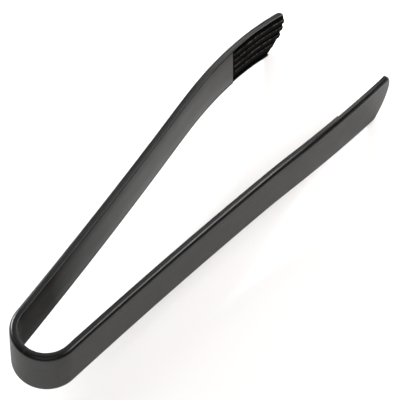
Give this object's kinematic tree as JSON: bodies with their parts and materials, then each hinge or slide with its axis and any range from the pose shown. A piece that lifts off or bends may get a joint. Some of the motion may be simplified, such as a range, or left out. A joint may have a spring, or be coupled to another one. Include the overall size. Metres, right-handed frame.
{
  "type": "kitchen tongs",
  "caption": "One-piece U-shaped spring tongs: a flat strip bent into a round bow with splayed arms, curved tips and ribbed grip pads.",
  "frame": {"origin": "under the middle of the whole object, on the plane its lowest points touch", "axes": "+X from the bow between the arms to the tips, +Y towards the left arm, +Z across the strip, away from the side the tips dip to"},
  "size_m": [0.3018, 0.0876, 0.0524],
  "materials": {
    "shell_plastic": "moulded black plastic, satin, very fine grain",
    "plate_plastic": "moulded black plastic, matte, very fine grain",
    "pad_plastic": "deep black plastic, semi-gloss",
    "spring_steel": "cold rolled spring steel strip"
  },
  "bodies": {
    "bow": {"bow_shell": "shell_plastic", "bow_plate": "plate_plastic", "bow_spring": "spring_steel"},
    "left_arm": {"left_arm_shell": "shell_plastic", "left_arm_plate": "plate_plastic", "left_spring_leg": "spring_steel", "left_grip_pad": "pad_plastic"},
    "right_arm": {"right_arm_shell": "shell_plastic", "right_arm_plate": "plate_plastic", "right_spring_leg": "spring_steel", "right_grip_pad": "pad_plastic"}
  },
  "joints": [
    {"name": "left_arm_flex", "type": "hinge", "parent": "bow", "child": "left_arm", "pos_m": [-0.14219, 0.01135, 0.03518], "axis": [0, 0, -1], "range_deg": [-4, 7.4], "stiffness_Nm_per_rad": 6, "deforming": ["bow_shell", "bow_plate", "bow_spring"]},
    {"name": "right_arm_flex", "type": "hinge", "parent": "bow", "child": "right_arm", "pos_m": [-0.14219, -0.01135, 0.03518], "axis": [0, 0, 1], "range_deg": [-4, 7.4], "stiffness_Nm_per_rad": 6, "deforming": ["bow_shell", "bow_plate", "bow_spring"]}
  ]
}
